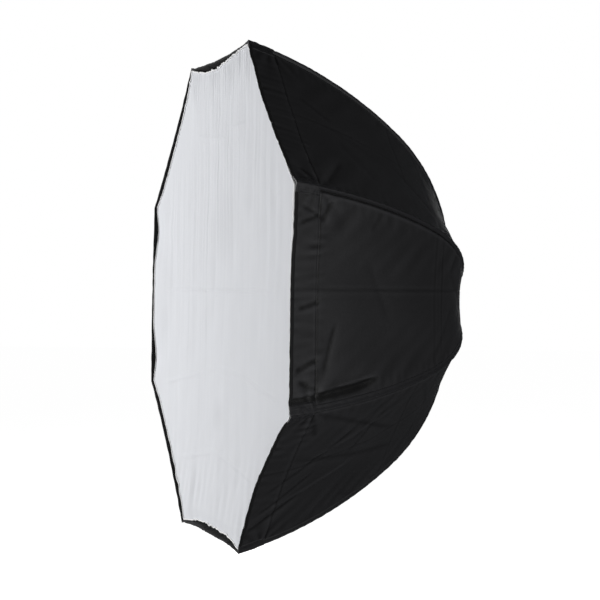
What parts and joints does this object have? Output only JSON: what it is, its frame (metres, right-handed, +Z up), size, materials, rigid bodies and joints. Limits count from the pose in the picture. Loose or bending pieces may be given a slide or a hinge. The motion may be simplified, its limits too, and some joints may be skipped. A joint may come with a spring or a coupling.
{
  "type": "umbrella softbox",
  "caption": "Octagonal umbrella softbox: black canopy on sprung ribs around a shaft, with a white front diffuser, folding like an umbrella.",
  "frame": {"origin": "centre of the free end of the shaft, inside the canopy, where a bracket takes hold", "axes": "+Y along the shaft from its free end to the crown at the rear, so the diffuser faces -Y; +Z up"},
  "size_m": [1.1086, 0.6001, 1.1086],
  "materials": {
    "steel": "bright plated",
    "black_plastic": "fine moulded",
    "crown_plastic": "moulded, satin",
    "wire": "drawn wire",
    "black_nylon": "coated satin nylon, silver inside",
    "white_diffuser": "thin white polyester",
    "latch_plastic": "moulded",
    "zip_metal": "black enamelled",
    "fibreglass": "pultruded, dark grey"
  },
  "bodies": {
    "frame": {"shaft": "steel", "shaft_plug": "black_plastic", "crown": "crown_plastic", "crown_wire": "wire", "apex_cap": "black_plastic", "apex_patch": "black_nylon"},
    "runner": {"runner": "crown_plastic", "runner_wire": "wire", "latch_pin": "wire"},
    "latch": {"runner_latch": "latch_plastic"},
    "zip": {"zip_slider": "zip_metal"},
    "rib_1": {"rib_1": "fibreglass"},
    "rib_2": {"rib_2": "fibreglass"},
    "rib_3": {"rib_3": "fibreglass"},
    "rib_4": {"rib_4": "fibreglass"},
    "rib_5": {"rib_5": "fibreglass"},
    "rib_6": {"rib_6": "fibreglass"},
    "rib_7": {"rib_7": "fibreglass"},
    "rib_8": {"rib_8": "fibreglass"},
    "stretcher_1": {"stretcher_1": "steel"},
    "stretcher_2": {"stretcher_2": "steel"},
    "stretcher_3": {"stretcher_3": "steel"},
    "stretcher_4": {"stretcher_4": "steel"},
    "stretcher_5": {"stretcher_5": "steel"},
    "stretcher_6": {"stretcher_6": "steel"},
    "stretcher_7": {"stretcher_7": "steel"},
    "stretcher_8": {"stretcher_8": "steel"},
    "gore_1a": {"gore_1a": "black_nylon"},
    "gore_1b": {"gore_1b": "black_nylon"},
    "gore_2a": {"gore_2a": "black_nylon"},
    "gore_2b": {"gore_2b": "black_nylon"},
    "gore_3a": {"gore_3a": "black_nylon"},
    "gore_3b": {"gore_3b": "black_nylon"},
    "gore_4a": {"gore_4a": "black_nylon"},
    "gore_4b": {"gore_4b": "black_nylon"},
    "gore_5a": {"gore_5a": "black_nylon"},
    "gore_5b": {"gore_5b": "black_nylon"},
    "gore_6a": {"gore_6a": "black_nylon"},
    "gore_6b": {"gore_6b": "black_nylon"},
    "gore_7a": {"gore_7a": "black_nylon"},
    "gore_7b": {"gore_7b": "black_nylon"},
    "gore_8a": {"gore_8a": "black_nylon"},
    "gore_8b": {"gore_8b": "black_nylon"},
    "diffuser_1a": {"diffuser_1a": "white_diffuser"},
    "diffuser_1b": {"diffuser_1b": "white_diffuser"},
    "diffuser_2a": {"diffuser_2a": "white_diffuser"},
    "diffuser_2b": {"diffuser_2b": "white_diffuser"},
    "diffuser_3a": {"diffuser_3a": "white_diffuser"},
    "diffuser_3b": {"diffuser_3b": "white_diffuser"},
    "diffuser_4a": {"diffuser_4a": "white_diffuser"},
    "diffuser_4b": {"diffuser_4b": "white_diffuser"},
    "diffuser_5a": {"diffuser_5a": "white_diffuser"},
    "diffuser_5b": {"diffuser_5b": "white_diffuser"},
    "diffuser_6a": {"diffuser_6a": "white_diffuser"},
    "diffuser_6b": {"diffuser_6b": "white_diffuser"},
    "diffuser_7a": {"diffuser_7a": "white_diffuser"},
    "diffuser_7b": {"diffuser_7b": "white_diffuser"},
    "diffuser_8a": {"diffuser_8a": "white_diffuser"},
    "diffuser_8b": {"diffuser_8b": "white_diffuser"}
  },
  "joints": [
    {"name": "runner_slide", "type": "slide", "parent": "frame", "child": "runner", "axis": [0, -1, 0], "range_m": [0, 0.28115], "deforming": ["gore_1a", "gore_1b", "gore_2a", "gore_2b", "gore_3a", "gore_3b", "gore_4a", "gore_4b", "gore_5a", "gore_5b", "gore_6a", "gore_6b", "gore_7a", "gore_7b", "gore_8a", "gore_8b", "diffuser_1a", "diffuser_1b", "diffuser_2a", "diffuser_2b", "diffuser_3a", "diffuser_3b", "diffuser_4a", "diffuser_4b", "diffuser_5a", "diffuser_5b", "diffuser_6a", "diffuser_6b", "diffuser_7a", "diffuser_7b", "diffuser_8a", "diffuser_8b"]},
    {"name": "rib_1_hinge", "type": "hinge", "parent": "frame", "child": "rib_1", "pos_m": [0.01293, 0.54112, 0.00536], "axis": [0.3827, 0, -0.9239], "range_deg": [-0.5, 43.8]},
    {"name": "stretcher_1_hinge", "type": "hinge", "parent": "runner", "child": "stretcher_1", "pos_m": [0.01293, 0.40408, 0.00536], "axis": [-0.3827, 0, 0.9239], "range_deg": [-0.5, 43.8]},
    {"name": "rib_2_hinge", "type": "hinge", "parent": "frame", "child": "rib_2", "pos_m": [0.00536, 0.54112, 0.01293], "axis": [0.9239, 0, -0.3827], "range_deg": [-0.5, 43.8]},
    {"name": "stretcher_2_hinge", "type": "hinge", "parent": "runner", "child": "stretcher_2", "pos_m": [0.00536, 0.40408, 0.01293], "axis": [-0.9239, 0, 0.3827], "range_deg": [-0.5, 43.8]},
    {"name": "rib_3_hinge", "type": "hinge", "parent": "frame", "child": "rib_3", "pos_m": [-0.00536, 0.54112, 0.01293], "axis": [0.9239, 0, 0.3827], "range_deg": [-0.5, 43.8]},
    {"name": "stretcher_3_hinge", "type": "hinge", "parent": "runner", "child": "stretcher_3", "pos_m": [-0.00536, 0.40408, 0.01293], "axis": [-0.9239, 0, -0.3827], "range_deg": [-0.5, 43.8]},
    {"name": "rib_4_hinge", "type": "hinge", "parent": "frame", "child": "rib_4", "pos_m": [-0.01293, 0.54112, 0.00536], "axis": [0.3827, 0, 0.9239], "range_deg": [-0.5, 43.8]},
    {"name": "stretcher_4_hinge", "type": "hinge", "parent": "runner", "child": "stretcher_4", "pos_m": [-0.01293, 0.40408, 0.00536], "axis": [-0.3827, 0, -0.9239], "range_deg": [-0.5, 43.8]},
    {"name": "rib_5_hinge", "type": "hinge", "parent": "frame", "child": "rib_5", "pos_m": [-0.01293, 0.54112, -0.00536], "axis": [-0.3827, 0, 0.9239], "range_deg": [-0.5, 43.8]},
    {"name": "stretcher_5_hinge", "type": "hinge", "parent": "runner", "child": "stretcher_5", "pos_m": [-0.01293, 0.40408, -0.00536], "axis": [0.3827, 0, -0.9239], "range_deg": [-0.5, 43.8]},
    {"name": "rib_6_hinge", "type": "hinge", "parent": "frame", "child": "rib_6", "pos_m": [-0.00536, 0.54112, -0.01293], "axis": [-0.9239, 0, 0.3827], "range_deg": [-0.5, 43.8]},
    {"name": "stretcher_6_hinge", "type": "hinge", "parent": "runner", "child": "stretcher_6", "pos_m": [-0.00536, 0.40408, -0.01293], "axis": [0.9239, 0, -0.3827], "range_deg": [-0.5, 43.8]},
    {"name": "rib_7_hinge", "type": "hinge", "parent": "frame", "child": "rib_7", "pos_m": [0.00536, 0.54112, -0.01293], "axis": [-0.9239, 0, -0.3827], "range_deg": [-0.5, 43.8]},
    {"name": "stretcher_7_hinge", "type": "hinge", "parent": "runner", "child": "stretcher_7", "pos_m": [0.00536, 0.40408, -0.01293], "axis": [0.9239, 0, 0.3827], "range_deg": [-0.5, 43.8]},
    {"name": "rib_8_hinge", "type": "hinge", "parent": "frame", "child": "rib_8", "pos_m": [0.01293, 0.54112, -0.00536], "axis": [-0.3827, 0, -0.9239], "range_deg": [-0.5, 43.8]},
    {"name": "stretcher_8_hinge", "type": "hinge", "parent": "runner", "child": "stretcher_8", "pos_m": [0.01293, 0.40408, -0.00536], "axis": [0.3827, 0, 0.9239], "range_deg": [-0.5, 43.8]},
    {"name": "gore_1a_fold", "type": "hinge", "parent": "rib_1", "child": "gore_1a", "pos_m": [0.01293, 0.54112, 0.00536], "axis": [0.0249, 0.159, 0.987], "range_deg": [-0.5, 22.71]},
    {"name": "diffuser_1a_fold", "type": "hinge", "parent": "rib_1", "child": "diffuser_1a", "pos_m": [0.55433, -0.04, 0.22961], "axis": [-0.5499, 0.3143, -0.7738], "range_deg": [-0.5, 76.02]},
    {"name": "gore_1b_fold", "type": "hinge", "parent": "rib_2", "child": "gore_1b", "pos_m": [0.00536, 0.54112, 0.01293], "axis": [-0.987, -0.159, -0.0249], "range_deg": [-0.5, 22.71]},
    {"name": "diffuser_1b_fold", "type": "hinge", "parent": "rib_2", "child": "diffuser_1b", "pos_m": [0.22961, -0.04, 0.55433], "axis": [0.7738, -0.3143, 0.5499], "range_deg": [-0.5, 76.02]},
    {"name": "gore_2a_fold", "type": "hinge", "parent": "rib_2", "child": "gore_2a", "pos_m": [0.00536, 0.54112, 0.01293], "axis": [-0.6803, 0.159, 0.7155], "range_deg": [-0.5, 22.71]},
    {"name": "diffuser_2a_fold", "type": "hinge", "parent": "rib_2", "child": "diffuser_2a", "pos_m": [0.22961, -0.04, 0.55433], "axis": [0.1584, 0.3143, -0.936], "range_deg": [-0.5, 76.02]},
    {"name": "gore_2b_fold", "type": "hinge", "parent": "rib_3", "child": "gore_2b", "pos_m": [-0.00536, 0.54112, 0.01293], "axis": [-0.6803, -0.159, -0.7155], "range_deg": [-0.5, 22.71]},
    {"name": "diffuser_2b_fold", "type": "hinge", "parent": "rib_3", "child": "diffuser_2b", "pos_m": [-0.22961, -0.04, 0.55433], "axis": [0.1584, -0.3143, 0.936], "range_deg": [-0.5, 76.02]},
    {"name": "gore_3a_fold", "type": "hinge", "parent": "rib_3", "child": "gore_3a", "pos_m": [-0.00536, 0.54112, 0.01293], "axis": [-0.987, 0.159, 0.0249], "range_deg": [-0.5, 22.71]},
    {"name": "diffuser_3a_fold", "type": "hinge", "parent": "rib_3", "child": "diffuser_3a", "pos_m": [-0.22961, -0.04, 0.55433], "axis": [0.7738, 0.3143, -0.5499], "range_deg": [-0.5, 76.02]},
    {"name": "gore_3b_fold", "type": "hinge", "parent": "rib_4", "child": "gore_3b", "pos_m": [-0.01293, 0.54112, 0.00536], "axis": [0.0249, -0.159, -0.987], "range_deg": [-0.5, 22.71]},
    {"name": "diffuser_3b_fold", "type": "hinge", "parent": "rib_4", "child": "diffuser_3b", "pos_m": [-0.55433, -0.04, 0.22961], "axis": [-0.5499, -0.3143, 0.7738], "range_deg": [-0.5, 76.02]},
    {"name": "gore_4a_fold", "type": "hinge", "parent": "rib_4", "child": "gore_4a", "pos_m": [-0.01293, 0.54112, 0.00536], "axis": [-0.7155, 0.159, -0.6803], "range_deg": [-0.5, 22.71]},
    {"name": "diffuser_4a_fold", "type": "hinge", "parent": "rib_4", "child": "diffuser_4a", "pos_m": [-0.55433, -0.04, 0.22961], "axis": [0.936, 0.3143, 0.1584], "range_deg": [-0.5, 76.02]},
    {"name": "gore_4b_fold", "type": "hinge", "parent": "rib_5", "child": "gore_4b", "pos_m": [-0.01293, 0.54112, -0.00536], "axis": [0.7155, -0.159, -0.6803], "range_deg": [-0.5, 22.71]},
    {"name": "diffuser_4b_fold", "type": "hinge", "parent": "rib_5", "child": "diffuser_4b", "pos_m": [-0.55433, -0.04, -0.22961], "axis": [-0.936, -0.3143, 0.1584], "range_deg": [-0.5, 76.02]},
    {"name": "gore_5a_fold", "type": "hinge", "parent": "rib_5", "child": "gore_5a", "pos_m": [-0.01293, 0.54112, -0.00536], "axis": [-0.0249, 0.159, -0.987], "range_deg": [-0.5, 22.71]},
    {"name": "diffuser_5a_fold", "type": "hinge", "parent": "rib_5", "child": "diffuser_5a", "pos_m": [-0.55433, -0.04, -0.22961], "axis": [0.5499, 0.3143, 0.7738], "range_deg": [-0.5, 76.02]},
    {"name": "gore_5b_fold", "type": "hinge", "parent": "rib_6", "child": "gore_5b", "pos_m": [-0.00536, 0.54112, -0.01293], "axis": [0.987, -0.159, 0.0249], "range_deg": [-0.5, 22.71]},
    {"name": "diffuser_5b_fold", "type": "hinge", "parent": "rib_6", "child": "diffuser_5b", "pos_m": [-0.22961, -0.04, -0.55433], "axis": [-0.7738, -0.3143, -0.5499], "range_deg": [-0.5, 76.02]},
    {"name": "gore_6a_fold", "type": "hinge", "parent": "rib_6", "child": "gore_6a", "pos_m": [-0.00536, 0.54112, -0.01293], "axis": [0.6803, 0.159, -0.7155], "range_deg": [-0.5, 22.71]},
    {"name": "diffuser_6a_fold", "type": "hinge", "parent": "rib_6", "child": "diffuser_6a", "pos_m": [-0.22961, -0.04, -0.55433], "axis": [-0.1584, 0.3143, 0.936], "range_deg": [-0.5, 76.02]},
    {"name": "gore_6b_fold", "type": "hinge", "parent": "rib_7", "child": "gore_6b", "pos_m": [0.00536, 0.54112, -0.01293], "axis": [0.6803, -0.159, 0.7155], "range_deg": [-0.5, 22.71]},
    {"name": "diffuser_6b_fold", "type": "hinge", "parent": "rib_7", "child": "diffuser_6b", "pos_m": [0.22961, -0.04, -0.55433], "axis": [-0.1584, -0.3143, -0.936], "range_deg": [-0.5, 76.02]},
    {"name": "gore_7a_fold", "type": "hinge", "parent": "rib_7", "child": "gore_7a", "pos_m": [0.00536, 0.54112, -0.01293], "axis": [0.987, 0.159, -0.0249], "range_deg": [-0.5, 22.71]},
    {"name": "diffuser_7a_fold", "type": "hinge", "parent": "rib_7", "child": "diffuser_7a", "pos_m": [0.22961, -0.04, -0.55433], "axis": [-0.7738, 0.3143, 0.5499], "range_deg": [-0.5, 76.02]},
    {"name": "gore_7b_fold", "type": "hinge", "parent": "rib_8", "child": "gore_7b", "pos_m": [0.01293, 0.54112, -0.00536], "axis": [-0.0249, -0.159, 0.987], "range_deg": [-0.5, 22.71]},
    {"name": "diffuser_7b_fold", "type": "hinge", "parent": "rib_8", "child": "diffuser_7b", "pos_m": [0.55433, -0.04, -0.22961], "axis": [0.5499, -0.3143, -0.7738], "range_deg": [-0.5, 76.02]},
    {"name": "gore_8a_fold", "type": "hinge", "parent": "rib_8", "child": "gore_8a", "pos_m": [0.01293, 0.54112, -0.00536], "axis": [0.7155, 0.159, 0.6803], "range_deg": [-0.5, 22.71]},
    {"name": "diffuser_8a_fold", "type": "hinge", "parent": "rib_8", "child": "diffuser_8a", "pos_m": [0.55433, -0.04, -0.22961], "axis": [-0.936, 0.3143, -0.1584], "range_deg": [-0.5, 76.02]},
    {"name": "gore_8b_fold", "type": "hinge", "parent": "rib_1", "child": "gore_8b", "pos_m": [0.01293, 0.54112, 0.00536], "axis": [-0.7155, -0.159, 0.6803], "range_deg": [-0.5, 22.71]},
    {"name": "diffuser_8b_fold", "type": "hinge", "parent": "rib_1", "child": "diffuser_8b", "pos_m": [0.55433, -0.04, 0.22961], "axis": [0.936, -0.3143, -0.1584], "range_deg": [-0.5, 76.02]},
    {"name": "latch_press", "type": "hinge", "parent": "runner", "child": "latch", "pos_m": [0, 0.37408, 0.012], "axis": [1, 0, 0], "range_deg": [0, 12], "stiffness_Nm_per_rad": 0.3, "springref_deg": -5.73},
    {"name": "zip_travel", "type": "hinge", "parent": "gore_6a", "child": "zip", "pos_m": [0, -0.30773, 0.54778], "axis": [1, 0, 0], "range_deg": [0, 8.49]}
  ],
  "couplings": [
    {"joint": "rib_1_hinge", "follows": "runner_slide", "rad_per_m": 2.6877},
    {"joint": "stretcher_1_hinge", "follows": "runner_slide", "rad_per_m": 2.6877},
    {"joint": "rib_2_hinge", "follows": "runner_slide", "rad_per_m": 2.6877},
    {"joint": "stretcher_2_hinge", "follows": "runner_slide", "rad_per_m": 2.6877},
    {"joint": "rib_3_hinge", "follows": "runner_slide", "rad_per_m": 2.6877},
    {"joint": "stretcher_3_hinge", "follows": "runner_slide", "rad_per_m": 2.6877},
    {"joint": "rib_4_hinge", "follows": "runner_slide", "rad_per_m": 2.6877},
    {"joint": "stretcher_4_hinge", "follows": "runner_slide", "rad_per_m": 2.6877},
    {"joint": "rib_5_hinge", "follows": "runner_slide", "rad_per_m": 2.6877},
    {"joint": "stretcher_5_hinge", "follows": "runner_slide", "rad_per_m": 2.6877},
    {"joint": "rib_6_hinge", "follows": "runner_slide", "rad_per_m": 2.6877},
    {"joint": "stretcher_6_hinge", "follows": "runner_slide", "rad_per_m": 2.6877},
    {"joint": "rib_7_hinge", "follows": "runner_slide", "rad_per_m": 2.6877},
    {"joint": "stretcher_7_hinge", "follows": "runner_slide", "rad_per_m": 2.6877},
    {"joint": "rib_8_hinge", "follows": "runner_slide", "rad_per_m": 2.6877},
    {"joint": "stretcher_8_hinge", "follows": "runner_slide", "rad_per_m": 2.6877},
    {"joint": "gore_1a_fold", "follows": "runner_slide", "rad_per_m": 1.3788},
    {"joint": "diffuser_1a_fold", "follows": "runner_slide", "rad_per_m": 4.6884},
    {"joint": "gore_1b_fold", "follows": "runner_slide", "rad_per_m": 1.3788},
    {"joint": "diffuser_1b_fold", "follows": "runner_slide", "rad_per_m": 4.6884},
    {"joint": "gore_2a_fold", "follows": "runner_slide", "rad_per_m": 1.3788},
    {"joint": "diffuser_2a_fold", "follows": "runner_slide", "rad_per_m": 4.6884},
    {"joint": "gore_2b_fold", "follows": "runner_slide", "rad_per_m": 1.3788},
    {"joint": "diffuser_2b_fold", "follows": "runner_slide", "rad_per_m": 4.6884},
    {"joint": "gore_3a_fold", "follows": "runner_slide", "rad_per_m": 1.3788},
    {"joint": "diffuser_3a_fold", "follows": "runner_slide", "rad_per_m": 4.6884},
    {"joint": "gore_3b_fold", "follows": "runner_slide", "rad_per_m": 1.3788},
    {"joint": "diffuser_3b_fold", "follows": "runner_slide", "rad_per_m": 4.6884},
    {"joint": "gore_4a_fold", "follows": "runner_slide", "rad_per_m": 1.3788},
    {"joint": "diffuser_4a_fold", "follows": "runner_slide", "rad_per_m": 4.6884},
    {"joint": "gore_4b_fold", "follows": "runner_slide", "rad_per_m": 1.3788},
    {"joint": "diffuser_4b_fold", "follows": "runner_slide", "rad_per_m": 4.6884},
    {"joint": "gore_5a_fold", "follows": "runner_slide", "rad_per_m": 1.3788},
    {"joint": "diffuser_5a_fold", "follows": "runner_slide", "rad_per_m": 4.6884},
    {"joint": "gore_5b_fold", "follows": "runner_slide", "rad_per_m": 1.3788},
    {"joint": "diffuser_5b_fold", "follows": "runner_slide", "rad_per_m": 4.6884},
    {"joint": "gore_6a_fold", "follows": "runner_slide", "rad_per_m": 1.3788},
    {"joint": "diffuser_6a_fold", "follows": "runner_slide", "rad_per_m": 4.6884},
    {"joint": "gore_6b_fold", "follows": "runner_slide", "rad_per_m": 1.3788},
    {"joint": "diffuser_6b_fold", "follows": "runner_slide", "rad_per_m": 4.6884},
    {"joint": "gore_7a_fold", "follows": "runner_slide", "rad_per_m": 1.3788},
    {"joint": "diffuser_7a_fold", "follows": "runner_slide", "rad_per_m": 4.6884},
    {"joint": "gore_7b_fold", "follows": "runner_slide", "rad_per_m": 1.3788},
    {"joint": "diffuser_7b_fold", "follows": "runner_slide", "rad_per_m": 4.6884},
    {"joint": "gore_8a_fold", "follows": "runner_slide", "rad_per_m": 1.3788},
    {"joint": "diffuser_8a_fold", "follows": "runner_slide", "rad_per_m": 4.6884},
    {"joint": "gore_8b_fold", "follows": "runner_slide", "rad_per_m": 1.3788},
    {"joint": "diffuser_8b_fold", "follows": "runner_slide", "rad_per_m": 4.6884}
  ]
}
